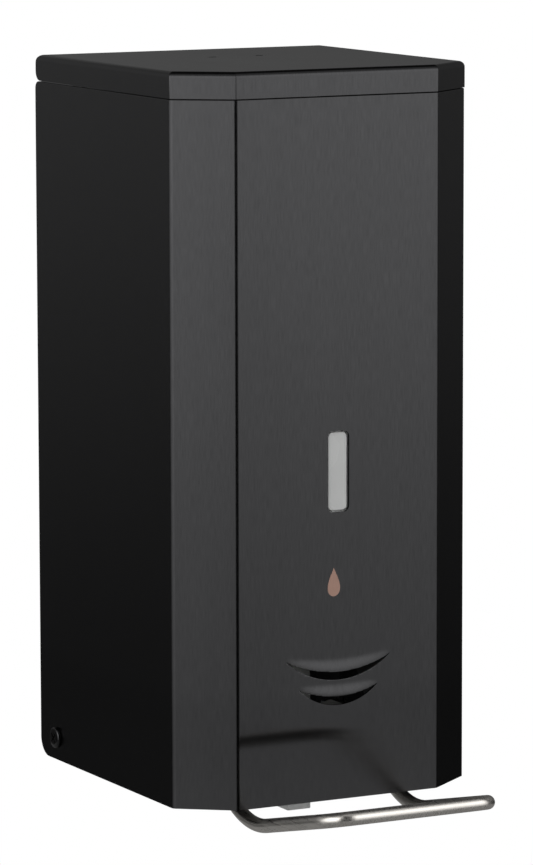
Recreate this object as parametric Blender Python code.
"""Wall mounted soap dispenser with a hinged steel lid and a wire press lever.

Lengths are in millimetres here and become metres when a mesh is made.
X runs to the right as the front is faced, Y runs back into the wall and Z up.
Heights are counted from the cover's lower edge, and the assembly empty then
lowers everything so that the origin is the middle of the wall face.
"""

import math

import bmesh
import bpy
from mathutils import Vector

METRE = 0.001
GAP = 0.3  # room left between pieces that touch

# Driving dimensions of the folded steel casing
WIDTH = 127.0
DEPTH = 133.0
COVER_HEIGHT = 269.6
TOTAL_HEIGHT = 280.0
CHAMFER_X = 20.3
CHAMFER_Y = 15.0
SHEET = 1.0
BEND_RADIUS = 2.6
ORIGIN_HEIGHT = 140.0

HALF = WIDTH / 2
FRONT = -DEPTH
TOP_FLANGE = 8.0
REAR_CORNER_BOTTOM = 7.3
REAR_CORNER_TOP = 3.0

# Level window and the two louvres in the front
WINDOW_SLOT = (9.4, 31.2, 2.4)  # width, height, corner radius
WINDOW_HEIGHT = 127.0
LOUVRES = (
    # half length, height of the tips, drop of the lip, drop of the lower edge
    (22.0, 54.8, 4.9, 7.8),
    (16.4, 43.6, 3.4, 6.1),
)
LOUVRE_LIFT = 0.8

# Screws through the sides of the cover
SIDE_SCREW = (-14.9, 9.0)  # y, z
SCREW_SHANK = 2.0
SCREW_HEAD = 4.15
SCREW_RECESS = (1.9, 0.4)  # half length and half width of the cross recess's blades

# Wall tray
TRAY_SHEET = 1.5
TRAY_RETURN = 22.0
TRAY_LOW = 2.0
TRAY_HIGH = 262.0
WALL_HOLES = ((-40.0, 32.0), (40.0, 32.0), (-40.0, 226.0), (40.0, 226.0))
WALL_HOLE_RADIUS = 2.75

# Rivets through the tray: x, z of each
RIVET_RADIUS = 1.6
SHELF_RIVETS = ((-36.0, 50.0), (36.0, 50.0))
HANGER_RIVETS = ((-24.0, 241.0), (24.0, 241.0))

# Lid, hinged on a rod near the wall
LID_LOW = COVER_HEIGHT + 1.0
LID_ROUND = (TOTAL_HEIGHT - LID_LOW) / 2
LID_BACK = -0.4
HINGE_Y = LID_BACK - LID_ROUND
HINGE_Z = LID_LOW + LID_ROUND
HINGE_ROD_RADIUS = 1.5
HINGE_EAR_RADIUS = 3.2

# Lock: a bolt that slides sideways under the lid
KEY_SLOT_X = 10.3
KEY_SLOT_Y = -50.0
KEY_SLOT_SIZE = (4.8, 2.4)
KEY_PRONG = 2.0
BOLT_TRAVEL = 2.8
BOLT_X = 27.5
BOLT_FOOT_X = 14.8
BOLT_LOW = 276.9
BOLT_HIGH = 278.1
GUIDE_X = 21.4
GUIDE_RADIUS = 1.5
KEEPER_LOW = 267.1
KEEPER_HIGH = 268.3

# Tank and the shelf that carries it
SHELF_LOW = 61.0
SHELF_HIGH = 62.5
SHELF_HALF = 47.5
TANK_LOW = SHELF_HIGH + GAP
TANK_WALL = 2.0
TANK_HIGH = 240.0
NECK_LOW = 53.0
NECK_RADIUS = 12.0

# Pump under the tank
PUMP_Y = -56.0
CYLINDER_RADIUS = 10.5
CYLINDER_BORE = 8.0
CYLINDER_LOW = 28.5
CYLINDER_HIGH = NECK_LOW - 1.6
STOP_LOW = CYLINDER_HIGH - 3.4
PORT_Z = 42.3
FOOT_RADIUS = 10.0  # radius of the plunger's domed end
FOOT_LOW = 14.5
SPOUT_HALF = 5.0
SPOUT_FRONT = -101.0
SPOUT_TIP = -10.3

# Press lever: one bent rod and the yoke that lifts the plunger
ROD_RADIUS = 2.75
LEVER_PIVOT = (-84.0, 20.7)  # y, z
LEVER_HALF = 34.9
LEVER_REACH = -193.0
LEVER_LOW = -9.45  # where the legs' line and the arms' line meet
LEG_SLANT = math.radians(52.0)
ARM_RISE = math.radians(13.2)
LEG_BEND = 38.0
CORNER_BEND = 9.0
AXLE_BEND = 7.0
YOKE_TOP = FOOT_LOW - GAP
YOKE_HALF = LEVER_HALF - ROD_RADIUS - GAP
BUSH_RADIUS = 4.4


def clear_scene():
    for item in list(bpy.data.objects):
        bpy.data.objects.remove(item)


def steel_material(name, colour, roughness, metallic):
    material = bpy.data.materials.new(name)
    material.use_nodes = True
    shader = material.node_tree.nodes["Principled BSDF"]
    shader.inputs["Base Color"].default_value = (*colour, 1.0)
    shader.inputs["Roughness"].default_value = roughness
    shader.inputs["Metallic"].default_value = metallic
    material.diffuse_color = (*colour, 1.0)
    return material


def empty_at(name, location, parent=None):
    empty = bpy.data.objects.new(name, None)
    bpy.context.scene.collection.objects.link(empty)
    empty["bench"] = location
    shift = Vector(location)
    if parent is not None:
        empty.parent = parent
        shift -= Vector(parent["bench"])
    empty.location = shift * METRE
    return empty


def make_object(name, mesh, group, material=None, smooth_angle=None):
    """Turns a bmesh in bench millimetres into an object carried by a group empty."""
    origin = Vector(group["bench"])
    for vertex in mesh.verts:
        vertex.co = (vertex.co - origin) * METRE
    bmesh.ops.recalc_face_normals(mesh, faces=mesh.faces)
    data = bpy.data.meshes.new(name)
    mesh.to_mesh(data)
    mesh.free()
    item = bpy.data.objects.new(name, data)
    bpy.context.scene.collection.objects.link(item)
    item.parent = group
    if material is None:
        item.hide_render = True
        item.display_type = "WIRE"
    else:
        data.materials.append(material)
    if smooth_angle is not None:
        data.shade_smooth()
        data.set_sharp_from_angle(angle=math.radians(smooth_angle))
    return item


def boolean(target, cutter, operation="DIFFERENCE"):
    modifier = target.modifiers.new(operation.lower(), "BOOLEAN")
    modifier.operation = operation
    modifier.object = cutter
    modifier.solver = "EXACT"


def axis_point(axis, first, second, along):
    """A point from two outline coordinates and one along the named axis."""
    if axis == "X":
        return (along, first, second)
    if axis == "Y":
        return (first, along, second)
    return (first, second, along)


def prism(outline, axis, low, high, mesh=None):
    """A closed prism: the outline lies in the plane across the axis."""
    mesh = mesh or bmesh.new()
    bottom = [mesh.verts.new(axis_point(axis, a, b, low)) for a, b in outline]
    face = mesh.faces.new(bottom)
    grown = bmesh.ops.extrude_face_region(mesh, geom=[face])
    moved = [g for g in grown["geom"] if isinstance(g, bmesh.types.BMVert)]
    shift = Vector(axis_point(axis, 0.0, 0.0, high - low))
    bmesh.ops.translate(mesh, verts=moved, vec=shift)
    return mesh


def box(low, high, mesh=None):
    outline = [(low[0], low[1]), (high[0], low[1]), (high[0], high[1]), (low[0], high[1])]
    return prism(outline, "Z", low[2], high[2], mesh)


def arc(centre, radius, start, end, steps):
    """Points on an arc, from one angle in degrees to another."""
    points = []
    for i in range(steps + 1):
        angle = math.radians(start + (end - start) * i / steps)
        points.append((centre[0] + radius * math.cos(angle), centre[1] + radius * math.sin(angle)))
    return points


def circle(centre, radius, steps):
    return arc(centre, radius, 0.0, 360.0 * (steps - 1) / steps, steps - 1)


def rounded(corners, steps=4):
    """An outline from (x, y, radius) corners, each corner turned into an arc."""
    outline = []
    count = len(corners)
    for i, (x, y, radius) in enumerate(corners):
        here = Vector((x, y))
        if radius <= 0:
            outline.append((x, y))
            continue
        before = (Vector(corners[i - 1][:2]) - here).normalized()
        after = (Vector(corners[(i + 1) % count][:2]) - here).normalized()
        half = before.angle(after) / 2
        centre = here + (before + after).normalized() * (radius / math.sin(half))
        first = here + before * (radius / math.tan(half)) - centre
        last = here + after * (radius / math.tan(half)) - centre
        turn = first.angle_signed(last)
        for k in range(steps + 1):
            angle = -turn * k / steps
            c, s = math.cos(angle), math.sin(angle)
            turned = (first.x * c - first.y * s, first.x * s + first.y * c)
            outline.append((centre.x + turned[0], centre.y + turned[1]))
    return outline


def rounded_box_outline(half_width, low, high, radius, steps=4):
    corners = [
        (-half_width, low, radius),
        (half_width, low, radius),
        (half_width, high, radius),
        (-half_width, high, radius),
    ]
    return rounded(corners, steps)


def lathe(profile, centre, axis="Z", segments=32, mesh=None):
    """Turns a closed (radius, height) profile about an axis through centre."""
    mesh = mesh or bmesh.new()
    rings = []
    for radius, height in profile:
        if radius < 1e-6:
            rings.append([mesh.verts.new(axis_point(axis, *centre, height))])
            continue
        ring = []
        for a, b in circle(centre, radius, segments):
            ring.append(mesh.verts.new(axis_point(axis, a, b, height)))
        rings.append(ring)
    for i, ring in enumerate(rings):
        following = rings[(i + 1) % len(rings)]
        if len(ring) == 1 and len(following) == 1:
            continue
        for k in range(segments):
            n = (k + 1) % segments
            corners = [ring[k % len(ring)], ring[n % len(ring)]]
            corners += [following[n % len(following)], following[k % len(following)]]
            unique = list(dict.fromkeys(corners))
            if len(unique) > 2:
                mesh.faces.new(unique)
    return mesh


def tube(points, radius, sides, mesh=None):
    """A round bar swept along a list of points, capped at both ends."""
    mesh = mesh or bmesh.new()
    path = [Vector(p) for p in points]
    tangents = []
    for i in range(len(path)):
        before = path[max(i - 1, 0)]
        after = path[min(i + 1, len(path) - 1)]
        tangents.append((after - before).normalized())
    side = tangents[0].orthogonal().normalized()
    rings = []
    for point, tangent in zip(path, tangents):
        side = (side - tangent * side.dot(tangent)).normalized()
        up = tangent.cross(side)
        ring = []
        for k in range(sides):
            angle = 2 * math.pi * k / sides
            ring.append(mesh.verts.new(point + (side * math.cos(angle) + up * math.sin(angle)) * radius))
        rings.append(ring)
    for ring, following in zip(rings, rings[1:]):
        for k in range(sides):
            n = (k + 1) % sides
            mesh.faces.new((ring[k], ring[n], following[n], following[k]))
    mesh.faces.new(list(reversed(rings[0])))
    mesh.faces.new(rings[-1])
    return mesh


def casing_outline(inset, back, steps=5):
    """The plan of the folded casing, moved in by inset, open edge at back."""
    lean = math.atan2(CHAMFER_Y, CHAMFER_X)  # chamfer's angle to the front
    x_side, y_front = HALF - inset, FRONT + inset
    x_front = HALF - CHAMFER_X - inset * math.tan(lean / 2)
    y_side = FRONT + CHAMFER_Y + inset * math.tan((math.pi / 2 - lean) / 2)
    radius = max(BEND_RADIUS - inset, 0.4)
    corners = [
        (-x_side, back, 0.0),
        (-x_side, y_side, radius),
        (-x_front, y_front, radius),
        (x_front, y_front, radius),
        (x_side, y_side, radius),
        (x_side, back, 0.0),
    ]
    return rounded(corners, steps)


def bevel_top(mesh, height, back, width, segments):
    """Rounds the top edges of a prism, all but the open edge at the back."""
    edges = []
    for edge in mesh.edges:
        ends = [v.co for v in edge.verts]
        if all(abs(p.z - height) < 1e-4 for p in ends) and any(p.y < back - 1e-3 for p in ends):
            edges.append(edge)
    bmesh.ops.bevel(mesh, geom=edges, offset=width, segments=segments, profile=0.5, affect="EDGES")
    return mesh


def corner_cutter(y, z, radius, up):
    """Cuts a rear corner of the casing to a round; up is +1 for a top corner."""
    reach = 6.0
    centre = (y - radius, z - up * radius)
    points = arc(centre, radius, 0.0, 90.0 * up, 10)
    points += [(y - radius, z + up * reach), (y + reach, z + up * reach), (y + reach, z - up * radius)]
    return prism(points, "X", -HALF - 10, HALF + 10)


def arch_height(x, half_length, drop):
    """Height below the chord, at x, of a circle through both tips that drops by drop."""
    radius = (half_length**2 + drop**2) / (2 * drop)
    return math.sqrt(max(radius**2 - x**2, 0.0)) - (radius - drop)


def louvre_opening(half_length, tips, lower):
    """The lens between the chord and the lower edge, cut right through the front."""
    steps = 20
    points = [(-half_length, tips)]
    for i in range(1, steps):
        x = -half_length + 2 * half_length * i / steps
        points.append((x, tips - arch_height(x, half_length, lower)))
    points.append((half_length, tips))
    return prism(points, "Y", FRONT - 4, FRONT + 5)


def louvre_lip(half_length, tips, lip):
    """The pressed lip: it leaves the sheet at the chord and stands proud at its edge."""
    columns, rows = 16, 3
    root = 2.5  # how far the lip runs up inside the sheet
    thick = 0.6
    mesh = bmesh.new()
    outer, inner = [], []
    for i in range(columns + 1):
        x = half_length * 0.95 * (2 * i / columns - 1)
        drop = arch_height(x, half_length, lip)
        lift = LOUVRE_LIFT * (1 - (x / half_length) ** 2)
        front_column, back_column = [], []
        for k in range(rows + 1):
            part = k / rows
            z = tips + root - (root + drop) * part
            y = FRONT + 0.2 - (lift + 0.2) * part * part * (3 - 2 * part)
            front_column.append(mesh.verts.new((x, y, z)))
            back_column.append(mesh.verts.new((x, y + thick, z)))
        outer.append(front_column)
        inner.append(back_column)
    for i in range(columns):
        for k in range(rows):
            mesh.faces.new((outer[i][k], outer[i + 1][k], outer[i + 1][k + 1], outer[i][k + 1]))
            mesh.faces.new((inner[i][k], inner[i][k + 1], inner[i + 1][k + 1], inner[i + 1][k]))
        for k, flip in ((0, False), (rows, True)):
            quad = [outer[i][k], inner[i][k], inner[i + 1][k], outer[i + 1][k]]
            mesh.faces.new(quad[::-1] if flip else quad)
    for i, flip in ((0, True), (columns, False)):
        for k in range(rows):
            quad = [outer[i][k], inner[i][k], inner[i][k + 1], outer[i][k + 1]]
            mesh.faces.new(quad[::-1] if flip else quad)
    return mesh


def build_cover(group, black):
    """Front, two chamfers and two sides folded from one sheet, flanged in at the top."""
    outer = prism(casing_outline(0.0, 0.0), "Z", 0.0, COVER_HEIGHT)
    bevel_top(outer, COVER_HEIGHT, 0.0, 1.4, 3)
    cover = make_object("cover", outer, group, black, 40)
    hollow = prism(casing_outline(SHEET, 12.0), "Z", -5.0, COVER_HEIGHT - SHEET)
    mouth = prism(casing_outline(SHEET + TOP_FLANGE, 14.0), "Z", COVER_HEIGHT - 6, COVER_HEIGHT + 5)
    width, height, radius = WINDOW_SLOT
    low, high = WINDOW_HEIGHT - height / 2, WINDOW_HEIGHT + height / 2
    slot = prism(rounded_box_outline(width / 2, low, high, radius), "Y", FRONT - 4, FRONT + 5)
    screw_holes = prism(circle(SIDE_SCREW, SCREW_SHANK + GAP, 24), "X", -HALF - 9, HALF + 9)
    cutters = {
        "cover_hollow": hollow,
        "cover_mouth": mouth,
        "cover_window_slot": slot,
        "cover_screw_holes": screw_holes,
        "cover_corner_low": corner_cutter(0.0, 0.0, REAR_CORNER_BOTTOM, -1),
        "cover_corner_high": corner_cutter(0.0, COVER_HEIGHT, REAR_CORNER_TOP, 1),
    }
    for name, mesh in cutters.items():
        boolean(cover, make_object(name, mesh, group))
    for i, (half_length, tips, lip, lower) in enumerate(LOUVRES):
        opening = make_object(f"louvre_opening_{i}", louvre_opening(half_length, tips, lower), group)
        boolean(cover, opening)
        hood = make_object(f"louvre_lip_{i}", louvre_lip(half_length, tips, lip), group)
        boolean(cover, hood, "UNION")


def build_window(group, clear):
    """The lens: a clear plate on a strip of foam tape behind the slot."""
    width, height, _ = WINDOW_SLOT
    rim = 4.0
    glue_face = FRONT + SHEET + 2 * GAP
    low, high = WINDOW_HEIGHT - height / 2 - rim, WINDOW_HEIGHT + height / 2 + rim
    outline = rounded_box_outline(width / 2 + rim, low, high, 3.0)
    make_object("level_window", prism(outline, "Y", glue_face, glue_face + 1.6), group, clear)


def build_wall_tray(group, black):
    """The plate against the wall, with side returns that the cover slides over."""
    x = HALF - SHEET - GAP
    inner = x - TRAY_SHEET
    outline = [
        (-x, 0.0), (-x, -TRAY_RETURN), (-inner, -TRAY_RETURN), (-inner, -TRAY_SHEET),
        (inner, -TRAY_SHEET), (inner, -TRAY_RETURN), (x, -TRAY_RETURN), (x, 0.0),
    ]
    tray = make_object("wall_tray", prism(outline, "Z", TRAY_LOW, TRAY_HIGH), group, black)
    entries, slots, ends = bmesh.new(), bmesh.new(), bmesh.new()
    for hole in WALL_HOLES:
        prism(circle((hole[0], hole[1] - 7.0), 2 * WALL_HOLE_RADIUS, 20), "Y", -7.0, 7.0, entries)
        slot = rounded_box_outline(1.9, hole[1] - 9.0, hole[1] + 1.0, 0.4, 1)
        prism([(a + hole[0], b) for a, b in slot], "Y", -8.0, 8.0, slots)
        prism(circle(hole, WALL_HOLE_RADIUS, 20), "Y", -6.0, 6.0, ends)
    for name, cutter in (("tray_entries", entries), ("tray_slots", slots), ("tray_slot_ends", ends)):
        boolean(tray, make_object(name, cutter, group))
    screw_holes = prism(circle(SIDE_SCREW, SCREW_SHANK + GAP, 24), "X", -HALF - 9, HALF + 9)
    boolean(tray, make_object("tray_screw_holes", screw_holes, group))
    corner = corner_cutter(0.0, TRAY_LOW, REAR_CORNER_BOTTOM, -1)
    boolean(tray, make_object("tray_corner_low", corner, group))
    rivets = bmesh.new()
    for rx, rz in SHELF_RIVETS + HANGER_RIVETS:
        prism(circle((rx, rz), RIVET_RADIUS + GAP, 16), "Y", -6.0, 6.0, rivets)
    boolean(tray, make_object("tray_rivet_holes", rivets, group))


def rivet(x, z, front):
    """A flush rivet through the tray, with its domed head in front of the joined sheets."""
    profile = [(0.0, -0.1), (RIVET_RADIUS, -0.1), (RIVET_RADIUS, front)]
    head = RIVET_RADIUS + 1.6
    profile += [(head, front), (head * 0.92, front - 0.6), (head * 0.55, front - 1.2), (0.0, front - 1.4)]
    return lathe(profile, (x, z), "Y", 16)


def build_hanger(group, steel, zinc):
    """A joggled strip on the tray and the tie bar of the cover that hooks behind it."""
    strip = [
        (-1.8, 236.0), (-1.8, 247.5), (-5.0, 249.5), (-5.0, 258.5),
        (-6.5, 258.5), (-6.5, 248.6), (-3.3, 246.6), (-3.3, 236.0),
    ]
    hanger = make_object("hanger_strip", prism(strip, "X", -34.0, 34.0), group, steel)
    holes = bmesh.new()
    for rx, rz in HANGER_RIVETS:
        prism(circle((rx, rz), RIVET_RADIUS + GAP, 16), "Y", -8.0, 6.0, holes)
    boolean(hanger, make_object("hanger_holes", holes, group))
    side = HALF - SHEET - GAP
    bar = make_object("tie_bar", box((-side, -17.0, 262.6), (side, -2.7, 263.8)), group, steel)
    lip = box((-32.0, -3.9, 250.5), (32.0, -2.7, 263.2))
    boolean(bar, make_object("tie_bar_lip", lip, group), "UNION")
    for places, purpose in ((SHELF_RIVETS, "shelf"), (HANGER_RIVETS, "hanger")):
        for (rx, rz), side in zip(places, ("left", "right")):
            make_object(f"{purpose}_rivet_{side}", rivet(rx, rz, -3.3 - GAP), group, zinc, 40)


def build_side_screws(group, black, zinc):
    """Pan head screws with a cross recess, and the weld nuts that take them."""
    y, z = SIDE_SCREW
    for side, name in ((-1, "side_screw_left"), (1, "side_screw_right")):
        face = side * (HALF + GAP)
        out = [0.0, 0.55, 1.1, 1.5, 1.7]
        radii = [SCREW_HEAD, SCREW_HEAD * 0.97, SCREW_HEAD * 0.84, SCREW_HEAD * 0.62, 0.0]
        profile = [(0.0, side * (HALF - 14.0)), (SCREW_SHANK, side * (HALF - 14.0)), (SCREW_SHANK, face)]
        profile += [(r, face + side * o) for r, o in zip(radii, out)]
        screw = make_object(name, lathe(profile, SIDE_SCREW, "X", 24), group, black, 40)
        long, wide = SCREW_RECESS
        for blade in ([(-long, -wide), (long, -wide), (long, wide), (-long, wide)],
                      [(-wide, -long), (wide, -long), (wide, long), (-wide, long)]):
            recess = prism([(y + a, z + b) for a, b in blade], "X", face + side * 0.6, face + side * 4.0)
            boolean(screw, make_object(f"{name}_recess", recess, group))
    inner = HALF - SHEET - 2 * GAP - TRAY_SHEET
    for side, name in ((-1, "weld_nut_left"), (1, "weld_nut_right")):
        blank = prism(circle((y, z), 4.0, 6), "X", *sorted((side * (inner - 3.2), side * inner)))
        nut = make_object(name, blank, group, zinc)
        bore = prism(circle((y, z), SCREW_SHANK + GAP, 24), "X", side * 40.0, side * 80.0)
        boolean(nut, make_object(f"{name}_bore", bore, group))


def lid_back_cutter():
    """Leaves the lid's rear end a half round about the hinge rod."""
    centre = (HINGE_Y, HINGE_Z)
    points = arc(centre, LID_ROUND, -90.0, 90.0, 16)
    points += [(HINGE_Y, HINGE_Z + 9.0), (HINGE_Y + 12.0, HINGE_Z + 9.0)]
    points += [(HINGE_Y + 12.0, HINGE_Z - 9.0), (HINGE_Y, HINGE_Z - 9.0)]
    return prism(points, "X", -HALF - 10, HALF + 10)


def lid_cavity_profile():
    """Side view of the room under the lid; its roof curls down at the back."""
    inner = LID_ROUND - SHEET
    points = [(FRONT - 20.0, HINGE_Z - 14.0), (12.0, HINGE_Z - 14.0), (12.0, HINGE_Z)]
    points += arc((HINGE_Y, HINGE_Z), inner, 0.0, 90.0, 8)
    points += [(FRONT - 20.0, TOTAL_HEIGHT - SHEET)]
    return prism(points, "X", -HALF - 20, HALF + 20)


def key_slots(low, high, length, width, shift=0.0):
    mesh = bmesh.new()
    for side in (-1, 1):
        outline = rounded_box_outline(length / 2, -width / 2, width / 2, width * 0.45)
        placed = [(a + side * KEY_SLOT_X + shift, b + KEY_SLOT_Y) for a, b in outline]
        prism(placed, "Z", low, high, mesh)
    return mesh


def build_lid(group, black, steel, zinc):
    """The lid, its two hinge ears and the shouldered studs that guide the bolt."""
    outer = prism(casing_outline(0.0, LID_BACK), "Z", LID_LOW, TOTAL_HEIGHT)
    bevel_top(outer, TOTAL_HEIGHT, LID_BACK, 2.2, 4)
    lid = make_object("lid", outer, group, black, 40)
    boolean(lid, make_object("lid_back", lid_back_cutter(), group))
    room = prism(casing_outline(SHEET, 15.0), "Z", LID_LOW - 9, LID_LOW + 20)
    cavity = make_object("lid_cavity", room, group)
    boolean(cavity, make_object("lid_cavity_side", lid_cavity_profile(), group), "INTERSECT")
    boolean(lid, cavity)
    boolean(lid, make_object("lid_key_slots", key_slots(270.0, 290.0, *KEY_SLOT_SIZE), group))

    ceiling = TOTAL_HEIGHT - SHEET - GAP
    for side, name in ((-1, "lid_ear_left"), (1, "lid_ear_right")):
        web = arc((HINGE_Y, HINGE_Z), HINGE_EAR_RADIUS, -180.0, 70.0, 14)
        web += [(HINGE_Y + 0.4, ceiling), (HINGE_Y - 12.0, ceiling), (HINGE_Y - 12.0, ceiling - 1.2)]
        inside, outside = sorted((side * 46.0, side * 47.2))
        ear = make_object(name, prism(web, "X", inside, outside), group, steel)
        inside, outside = sorted((side * 37.0, side * 46.6))
        foot = box((inside, HINGE_Y - 12.0, ceiling - 1.2), (outside, HINGE_Y - 2.0, ceiling))
        boolean(ear, make_object(f"{name}_foot", foot, group), "UNION")
        bore = prism(circle((HINGE_Y, HINGE_Z), HINGE_ROD_RADIUS + 0.15, 20), "X", side * 40, side * 52)
        boolean(ear, make_object(f"{name}_bore", bore, group))

    top = TOTAL_HEIGHT - SHEET - GAP
    low = BOLT_LOW - GAP
    profile = [(0.0, top), (GUIDE_RADIUS, top), (GUIDE_RADIUS, low)]
    profile += [(3.0, low), (2.7, low - 0.8), (0.0, low - 1.0)]
    for side, name in ((-1, "bolt_guide_left"), (1, "bolt_guide_right")):
        make_object(name, lathe(profile, (side * GUIDE_X, KEY_SLOT_Y), "Z", 16), group, zinc, 40)


def build_bolt(group, steel):
    """The sliding bolt: a plate with two key holes and two hooked tongues."""
    plate = prism(
        [(x, y + KEY_SLOT_Y) for x, y in rounded_box_outline(BOLT_X + 1.0, -6.0, 6.0, 1.5, 3)],
        "Z", BOLT_LOW, BOLT_HIGH,
    )
    bolt = make_object("lock_bolt", plate, group, steel)
    for side in (-1, 1):
        x = side * BOLT_FOOT_X
        tongue = box((x, -53.5, 264.7), (x + 1.5, -46.5, BOLT_HIGH - 0.4))
        foot = box((x - 2.6, -53.3, 264.5), (x + 1.3, -46.7, 266.0))
        boolean(bolt, make_object(f"bolt_tongue_{side}", tongue, group), "UNION")
        boolean(bolt, make_object(f"bolt_foot_{side}", foot, group), "UNION")
    holes = key_slots(275.0, 280.0, KEY_PRONG, KEY_PRONG, BOLT_TRAVEL / 2)
    for side in (-1, 1):
        centre = side * GUIDE_X
        outline = rounded_box_outline(GUIDE_RADIUS + GAP + BOLT_TRAVEL / 2, -1.8, 1.8, 1.7, 4)
        shifted = [(a + centre + BOLT_TRAVEL / 2, b + KEY_SLOT_Y) for a, b in outline]
        prism(shifted, "Z", 274.0, 281.0, holes)
    boolean(bolt, make_object("bolt_holes", holes, group))


def build_top_frame(group, steel, zinc):
    """Keeper bar under the cover's top flange, hinge brackets and the hinge rod."""
    side = HALF - SHEET - GAP
    bar = box((-side, -60.0, KEEPER_LOW), (side, -41.0, KEEPER_HIGH))
    keeper = make_object("keeper_bar", bar, group, steel)
    slots = bmesh.new()
    for s in (-1, 1):
        x = s * BOLT_FOOT_X
        box((x - 3.5, -56.4, 262.0), (x + 3.1, -38.0, 272.0), slots)
    boolean(keeper, make_object("keeper_notches", slots, group))

    for s, name in ((-1, "hinge_bracket_left"), (1, "hinge_bracket_right")):
        web = arc((HINGE_Y, HINGE_Z), HINGE_EAR_RADIUS, -100.0, 180.0, 16)
        web += [(HINGE_Y - 15.0, KEEPER_HIGH), (HINGE_Y - 15.0, KEEPER_LOW), (HINGE_Y - 1.2, KEEPER_LOW)]
        inside, outside = sorted((s * 48.0, s * 49.5))
        ear = make_object(name, prism(web, "X", inside, outside), group, steel)
        inside, outside = sorted((s * 48.4, s * side))
        low, high = KEEPER_LOW - 0.01, KEEPER_HIGH - 0.01
        foot = box((inside, HINGE_Y - 14.7, low), (outside, HINGE_Y - 2.0, high))
        boolean(ear, make_object(f"{name}_foot", foot, group), "UNION")
        bore = prism(circle((HINGE_Y, HINGE_Z), HINGE_ROD_RADIUS + 0.15, 20), "X", s * 43, s * 54)
        boolean(ear, make_object(f"{name}_bore", bore, group))

    end = [(HINGE_ROD_RADIUS, 52.6), (1.2, 53.0), (0.0, 53.0)]
    profile = [(radius, -x) for radius, x in reversed(end)] + end
    rod = lathe(profile, (HINGE_Y, HINGE_Z), "X", 20)
    make_object("hinge_rod", rod, group, zinc, 40)
    for s, name in ((-1, "hinge_ring_left"), (1, "hinge_ring_right")):
        inner = HINGE_ROD_RADIUS + 0.15
        low, high = sorted((s * 50.0, s * 50.9))
        ring = lathe([(inner, low), (2.9, low), (2.9, high), (inner, high)], (HINGE_Y, HINGE_Z), "X", 20)
        make_object(name, ring, group, zinc, 40)


def tank_outline(inset):
    corners = [
        (-58.0 + inset, -20.0 - inset, 6.0),
        (-58.0 + inset, -117.0 + 0.4 * inset, 6.0),
        (-41.0 + 0.4 * inset, -129.0 + inset, 6.0),
        (41.0 - 0.4 * inset, -129.0 + inset, 6.0),
        (58.0 - inset, -117.0 + 0.4 * inset, 6.0),
        (58.0 - inset, -20.0 - inset, 6.0),
    ]
    return rounded([(x, y, max(r - inset * 0.5, 2.0)) for x, y, r in corners], 3)


def loft(outlines, mesh=None):
    """A closed solid through outlines of equal count, given as (points, height)."""
    mesh = mesh or bmesh.new()
    rings = [[mesh.verts.new((x, y, z)) for x, y in points] for points, z in outlines]
    count = len(rings[0])
    for ring, following in zip(rings, rings[1:]):
        for k in range(count):
            n = (k + 1) % count
            mesh.faces.new((ring[k], ring[n], following[n], following[k]))
    mesh.faces.new(rings[0][::-1])
    mesh.faces.new(rings[-1])
    return mesh


def build_tank(group, natural):
    """Blow moulded tank, open at the top, with a sloping floor and a threaded neck."""
    outer = loft([
        (tank_outline(12.0), TANK_LOW),
        (tank_outline(2.0), TANK_LOW + 14.0),
        (tank_outline(0.0), TANK_LOW + 22.0),
        (tank_outline(0.0), TANK_HIGH),
    ])
    tank = make_object("tank", outer, group, natural, 35)
    neck = lathe(
        [(0.0, NECK_LOW), (NECK_RADIUS, NECK_LOW), (NECK_RADIUS, TANK_LOW + 1.5), (0.0, TANK_LOW + 1.5)],
        (0.0, PUMP_Y), "Z", 32,
    )
    boolean(tank, make_object("tank_neck", neck, group), "UNION")
    room = loft([
        (tank_outline(14.0), TANK_LOW + TANK_WALL),
        (tank_outline(2.0 + TANK_WALL), TANK_LOW + 14.8),
        (tank_outline(TANK_WALL), TANK_LOW + 22.6),
        (tank_outline(TANK_WALL), TANK_HIGH + 5.0),
    ])
    boolean(tank, make_object("tank_room", room, group))
    bore = lathe([(0.0, 40.0), (9.6, 40.0), (9.6, 80.0), (0.0, 80.0)], (0.0, PUMP_Y), "Z", 32)
    boolean(tank, make_object("tank_bore", bore, group))


def build_shelf(group, black):
    """Shelf folded from one sheet: two deep side cheeks and a rear flange."""
    inner = SHELF_HALF - TRAY_SHEET
    plate = box((-SHELF_HALF, -98.0, SHELF_LOW), (SHELF_HALF, -1.8, SHELF_HIGH))
    shelf = make_object("tank_shelf", plate, group, black)
    y, z = LEVER_PIVOT
    cheek = [(-2.4, 61.7), (-2.4, 42.0), (-58.0, 42.0), (y + 9.0, z - 2.0)]
    cheek += arc((y, z), 8.5, 0.0, -180.0, 10)[1:-1]
    cheek += [(y - 9.0, z - 2.0), (-97.7, 61.7)]
    for side in (-1, 1):
        low, high = sorted((side * inner, side * (SHELF_HALF - 0.01)))
        boolean(shelf, make_object(f"shelf_cheek_{side}", prism(cheek, "X", low, high), group), "UNION")
    flange = box((-inner - 0.5, -3.3, 43.0), (inner + 0.5, -1.81, 61.6))
    boolean(shelf, make_object("shelf_flange", flange, group), "UNION")
    neck_hole = prism(circle((0.0, PUMP_Y), NECK_RADIUS + 0.6, 32), "Z", 55.0, 68.0)
    boolean(shelf, make_object("shelf_neck_hole", neck_hole, group))
    bushes = prism(circle(LEVER_PIVOT, BUSH_RADIUS + GAP, 24), "X", -60.0, 60.0)
    boolean(shelf, make_object("shelf_bush_holes", bushes, group))
    rivets = bmesh.new()
    for rx, rz in SHELF_RIVETS:
        prism(circle((rx, rz), RIVET_RADIUS + GAP, 16), "Y", -8.0, 6.0, rivets)
    boolean(shelf, make_object("shelf_rivet_holes", rivets, group))


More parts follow.
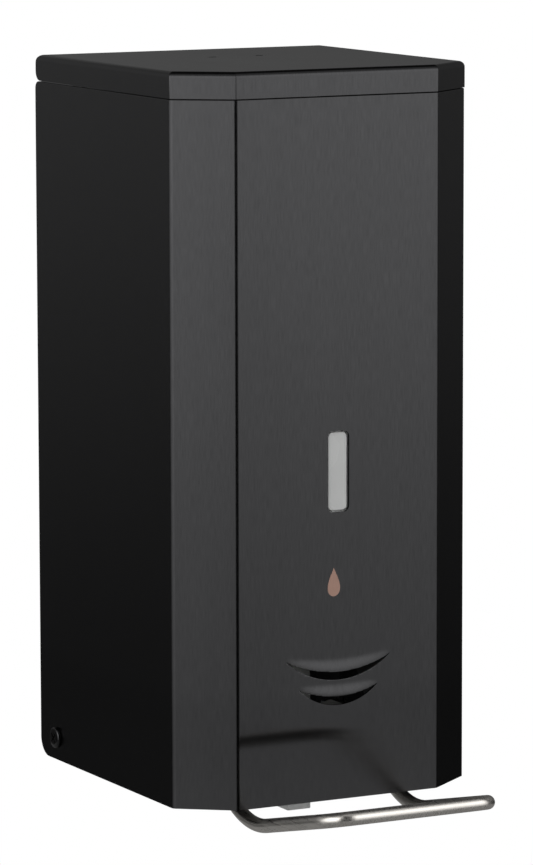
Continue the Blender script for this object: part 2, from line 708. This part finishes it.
def build_bushes(group, nylon, zinc):
    """Flanged nylon bushes for the lever's axles, and the rings that keep it in."""
    bore = ROD_RADIUS + 0.1
    for side, name in ((-1, "lever_bush_left"), (1, "lever_bush_right")):
        inner = side * (SHELF_HALF - TRAY_SHEET - GAP)
        profile = [
            (bore, inner - side * 1.5), (6.4, inner - side * 1.5), (6.4, inner),
            (BUSH_RADIUS, inner), (BUSH_RADIUS, inner + side * 3.2), (bore, inner + side * 3.2),
        ]
        make_object(name, lathe(profile, LEVER_PIVOT, "X", 24), group, nylon, 40)


def build_pump(group, white, rubber, clear, ball_steel):
    """Cylinder, ring nut, gasket, inlet ball and the spout at the front."""
    centre = (0.0, PUMP_Y)
    spigot, seat = 9.3, 3.0
    flange_low = CYLINDER_HIGH - 2.6
    ball_radius = 3.4
    ball_room = 4.4
    profile = [
        (4.3, CYLINDER_LOW), (CYLINDER_RADIUS, CYLINDER_LOW), (CYLINDER_RADIUS, flange_low),
        (11.8, flange_low), (11.8, CYLINDER_HIGH), (spigot, CYLINDER_HIGH), (spigot, NECK_LOW + 10.0),
        (seat, NECK_LOW + 10.0), (seat, NECK_LOW + 5.4), (ball_room, NECK_LOW + 4.0),
        (ball_room, CYLINDER_HIGH - 0.6), (CYLINDER_BORE, CYLINDER_HIGH - 0.6),
        (CYLINDER_BORE, CYLINDER_LOW + 3.0), (4.3, CYLINDER_LOW + 3.0),
    ]
    cylinder = make_object("pump_cylinder", lathe(profile, centre, "Z", 32), group, white, 40)
    front = PUMP_Y - CYLINDER_RADIUS
    rear = PUMP_Y - 9.2
    boss = lathe([(0.0, rear), (2.6, rear), (2.6, front - 4.0), (0.0, front - 4.0)], (0.0, PORT_Z), "Y", 20)
    boolean(cylinder, make_object("pump_boss", boss, group), "UNION")
    port = prism(circle((0.0, PORT_Z), 1.4, 16), "Y", front - 9.0, PUMP_Y - 4.0)
    boolean(cylinder, make_object("pump_port", port, group))

    low, high = NECK_LOW - 1.3, NECK_LOW - GAP
    gasket = lathe([(9.7, low), (11.8, low), (11.8, high), (9.7, high)], centre, "Z", 32)
    make_object("neck_gasket", gasket, group, rubber, 40)
    nut_top = SHELF_LOW - GAP
    nut = lathe(
        [
            (CYLINDER_RADIUS + GAP, flange_low - 1.8), (15.5, flange_low - 1.8), (16.0, flange_low - 1.2),
            (16.0, nut_top), (NECK_RADIUS + GAP, nut_top), (NECK_RADIUS + GAP, flange_low - GAP),
            (CYLINDER_RADIUS + GAP, flange_low - GAP),
        ],
        centre, "Z", 32,
    )
    nut_object = make_object("ring_nut", nut, group, white, 40)
    grips = bmesh.new()
    for i in range(12):
        angle = 2 * math.pi * i / 12
        spot = (16.6 * math.cos(angle), PUMP_Y + 16.6 * math.sin(angle))
        prism(circle(spot, 1.5, 8), "Z", 30.0, 70.0, grips)
    boolean(nut_object, make_object("ring_nut_grips", grips, group))

    stop_hole, stop_top = 2.2, CYLINDER_HIGH - 0.9
    rest = stop_top + math.sqrt(ball_radius**2 - stop_hole**2) + GAP
    ball = bmesh.new()
    bmesh.ops.create_uvsphere(ball, u_segments=16, v_segments=10, radius=ball_radius)
    bmesh.ops.translate(ball, verts=ball.verts, vec=(0.0, PUMP_Y, rest))
    make_object("inlet_ball", ball, group, ball_steel, 60)
    disc = [(stop_hole, STOP_LOW), (7.6, STOP_LOW), (7.6, stop_top), (stop_hole, stop_top)]
    stop = make_object("ball_stop", lathe(disc, centre, "Z", 24), group, white, 40)
    for i in range(3):
        angle = math.radians(90 + 120 * i)
        spot = (3.4 * math.cos(angle), PUMP_Y + 3.4 * math.sin(angle))
        notch = prism(circle(spot, 1.2, 10), "Z", STOP_LOW - 3.0, stop_top + 3.0)
        boolean(stop, make_object(f"ball_stop_notch_{i}", notch, group))
    build_spout(group, clear, rubber)


def build_spout(group, clear, rubber):
    """Square section spout: it clips on the port, runs forward and turns down."""
    back = PUMP_Y - CYLINDER_RADIUS - GAP - 1.0
    rear_wall = SPOUT_FRONT + 11.0
    top = PORT_Z + 4.2
    side_view = [
        (back, PORT_Z - 4.8), (back, top), (SPOUT_FRONT + 3.0, top),
        (SPOUT_FRONT, top - 3.0), (SPOUT_FRONT, SPOUT_TIP), (rear_wall, SPOUT_TIP),
        (rear_wall, PORT_Z - 7.8), (rear_wall + 3.0, PORT_Z - 4.8),
    ]
    spout = make_object("spout", prism(side_view, "X", -SPOUT_HALF, SPOUT_HALF), group, clear)
    wall = 1.4
    channel_low = box(
        (-SPOUT_HALF + wall, SPOUT_FRONT + wall, SPOUT_TIP - 5.0),
        (SPOUT_HALF - wall, rear_wall - wall, PORT_Z + 2.2),
    )
    boolean(spout, make_object("spout_drop", channel_low, group))
    run = prism(circle((0.0, PORT_Z), 2.0, 16), "Y", SPOUT_FRONT + 5.0, back + 5.0)
    boolean(spout, make_object("spout_run", run, group))
    socket = prism(circle((0.0, PORT_Z), 2.9, 20), "Y", back - 4.0, back + 5.0)
    boolean(spout, make_object("spout_socket", socket, group))
    washer = lathe(
        [(2.9, back + GAP), (4.1, back + GAP), (4.1, back + 1.0), (2.9, back + 1.0)], (0.0, PORT_Z), "Y", 20
    )
    make_object("spout_washer", washer, group, rubber, 40)
    half = SPOUT_HALF - wall - GAP
    middle = (SPOUT_FRONT + rear_wall) / 2
    reach = (rear_wall - SPOUT_FRONT) / 2 - wall - GAP
    valve = box((-half, middle - reach, SPOUT_TIP + 1.0), (half, middle + reach, SPOUT_TIP + 6.0))
    drip = make_object("drip_valve", valve, group, rubber)
    slit = box((-0.5, middle - 2.4, SPOUT_TIP - 3.0), (0.5, middle + 2.4, SPOUT_TIP + 9.0))
    boolean(drip, make_object("drip_valve_slit", slit, group))


def build_plunger(group, natural, rubber):
    """Plunger with a piston, a rod and a domed foot, and its lip seal."""
    centre = (0.0, PUMP_Y)
    head_low = CYLINDER_LOW + 3.0 + GAP
    dome = []
    reach = 8.5
    for i in range(7):
        angle = math.asin(reach / FOOT_RADIUS) * i / 6
        dome.append((FOOT_RADIUS * math.sin(angle), FOOT_LOW + FOOT_RADIUS * (1 - math.cos(angle))))
    foot_top = dome[-1][1] + 1.2
    profile = dome + [
        (reach, foot_top), (4.0, foot_top), (4.0, head_low), (CYLINDER_BORE - 0.3, head_low),
        (CYLINDER_BORE - 0.3, head_low + 1.0), (6.0, head_low + 1.0), (6.0, head_low + 2.6),
        (CYLINDER_BORE - 0.3, head_low + 2.6), (CYLINDER_BORE - 0.3, head_low + 3.4), (0.0, head_low + 3.4),
    ]
    make_object("plunger", lathe(profile, centre, "Z", 32), group, natural, 40)
    seal = [
        (6.3, head_low + 1.3), (CYLINDER_BORE - 0.15, head_low + 1.3),
        (CYLINDER_BORE - 0.15, head_low + 2.3), (6.3, head_low + 2.3),
    ]
    make_object("plunger_seal", lathe(seal, centre, "Z", 32), group, rubber, 40)
    return head_low + 3.4


def build_spring(group, bright, low, high):
    """Return spring in the cylinder, between the piston and the ball stop, ends closed up."""
    wire, mean, turns = 0.45, 6.2, 5
    per_turn = 16
    total = turns * per_turn
    start = low + GAP + wire
    end = high - GAP - wire
    points = []
    for i in range(total + 1):
        part = i / total
        angle = 2 * math.pi * turns * part
        eased = min(max((part * turns - 0.8) / (turns - 1.6), 0.0), 1.0)
        climb = 2 * wire + 0.15
        ends = climb * min(part * turns / 0.8, 1.0) + climb * max((part * turns - turns + 0.8) / 0.8, 0.0)
        z = start + ends + (end - start - 2 * climb) * eased
        points.append((mean * math.cos(angle), PUMP_Y + mean * math.sin(angle), z))
    make_object("return_spring", tube(points, wire, 6), group, bright, 50)


def bent_path(corners, steps):
    """Points along straight runs joined by arcs; corners are (point, bend radius)."""
    path = [Vector(corners[0][0])]
    for i in range(1, len(corners) - 1):
        here = Vector(corners[i][0])
        radius = corners[i][1]
        before = (Vector(corners[i - 1][0]) - here).normalized()
        after = (Vector(corners[i + 1][0]) - here).normalized()
        half = before.angle(after) / 2
        inward = (before + after).normalized()
        centre = here + inward * (radius / math.sin(half))
        first = here + before * (radius / math.tan(half)) - centre
        last = here + after * (radius / math.tan(half)) - centre
        turn = first.angle(last)
        for k in range(steps + 1):
            part = k / steps
            mixed = (first * math.sin((1 - part) * turn) + last * math.sin(part * turn)) / math.sin(turn)
            path.append(centre + mixed)
    path.append(Vector(corners[-1][0]))
    return path


def lever_corners():
    """Corners of the rod's centre line, from the left axle round to the right one."""
    pivot_y, pivot_z = LEVER_PIVOT
    knee_y = pivot_y - (pivot_z - LEVER_LOW) * math.tan(LEG_SLANT)
    bar_z = LEVER_LOW + (knee_y - LEVER_REACH) * math.tan(ARM_RISE)
    axle = SHELF_HALF + 4.5
    left = [
        ((-axle, pivot_y, pivot_z), 0.0),
        ((-LEVER_HALF, pivot_y, pivot_z), AXLE_BEND),
        ((-LEVER_HALF, knee_y, LEVER_LOW), LEG_BEND),
        ((-LEVER_HALF, LEVER_REACH, bar_z), CORNER_BEND),
    ]
    right = [((-x, y, z), radius) for (x, y, z), radius in reversed(left)]
    return left + right


def build_lever(group, bright, steel, zinc):
    """The bent rod, the yoke welded between its legs and the rings on its axles."""
    rod = tube(bent_path(lever_corners(), 8), ROD_RADIUS, 12)
    make_object("lever_rod", rod, group, bright, 40)
    y, z = LEVER_PIVOT
    thick = 2.5
    arm = [
        (PUMP_Y + 7.0, YOKE_TOP - 2.5), (PUMP_Y + 7.0, YOKE_TOP + 2.5), (y + 12.0, z + 5.0),
        (y - 7.0, z + 5.0), (y - 17.0, z - 8.0), (y - 12.0, z - 13.0), (y, z - 5.5),
        (PUMP_Y - 8.0, YOKE_TOP - 2.5),
    ]
    pad = box((-YOKE_HALF + 0.01, PUMP_Y - 7.5, YOKE_TOP - 2.2), (YOKE_HALF - 0.01, PUMP_Y + 6.9, YOKE_TOP))
    yoke = make_object("lever_yoke", pad, group, steel)
    for side in (-1, 1):
        low, high = sorted((side * (YOKE_HALF - thick), side * YOKE_HALF))
        boolean(yoke, make_object(f"yoke_arm_{side}", prism(arm, "X", low, high), group), "UNION")
    for side, name in ((-1, "axle_ring_left"), (1, "axle_ring_right")):
        low, high = sorted((side * (SHELF_HALF + 1.8), side * (SHELF_HALF + 2.9)))
        bore = ROD_RADIUS + 0.15
        ring = lathe([(bore, low), (5.2, low), (5.2, high), (bore, high)], LEVER_PIVOT, "X", 20)
        make_object(name, ring, group, zinc, 40)


def main():
    clear_scene()
    assembly = empty_at("assembly", (0.0, 0.0, ORIGIN_HEIGHT))
    assembly.location = (0.0, 0.0, 0.0)
    lid_axis = empty_at("lid_axis", (0.0, HINGE_Y, HINGE_Z), assembly)
    bolt_axis = empty_at("bolt_axis", (0.0, KEY_SLOT_Y, BOLT_LOW), lid_axis)
    lever_axis = empty_at("lever_axis", (0.0, *LEVER_PIVOT), assembly)
    plunger_axis = empty_at("plunger_axis", (0.0, PUMP_Y, FOOT_LOW), assembly)

    black = steel_material("black_coated_steel", (0.045, 0.045, 0.047), 0.42, 0.9)
    steel = steel_material("plain_sheet_steel", (0.42, 0.42, 0.43), 0.4, 1.0)
    zinc = steel_material("zinc_plated_steel", (0.6, 0.61, 0.63), 0.35, 1.0)
    bright = steel_material("polished_stainless_rod", (0.66, 0.64, 0.61), 0.22, 1.0)
    natural = steel_material("natural_polyethylene", (0.86, 0.87, 0.85), 0.45, 0.0)
    white = steel_material("white_acetal", (0.82, 0.82, 0.8), 0.35, 0.0)
    clear = steel_material("clear_plastic", (0.72, 0.73, 0.72), 0.25, 0.0)
    nylon = steel_material("natural_nylon", (0.78, 0.76, 0.68), 0.45, 0.0)
    rubber = steel_material("black_rubber", (0.03, 0.03, 0.03), 0.7, 0.0)

    build_cover(assembly, black)
    build_window(assembly, clear)
    build_wall_tray(assembly, black)
    build_hanger(assembly, steel, zinc)
    build_side_screws(assembly, black, zinc)
    build_lid(lid_axis, black, steel, zinc)
    build_bolt(bolt_axis, steel)
    build_top_frame(assembly, steel, zinc)
    build_tank(assembly, natural)
    build_shelf(assembly, black)
    build_bushes(assembly, nylon, zinc)
    build_pump(assembly, white, rubber, clear, bright)
    piston_top = build_plunger(plunger_axis, natural, rubber)
    build_spring(assembly, bright, piston_top, STOP_LOW)
    build_lever(lever_axis, bright, steel, zinc)


main()
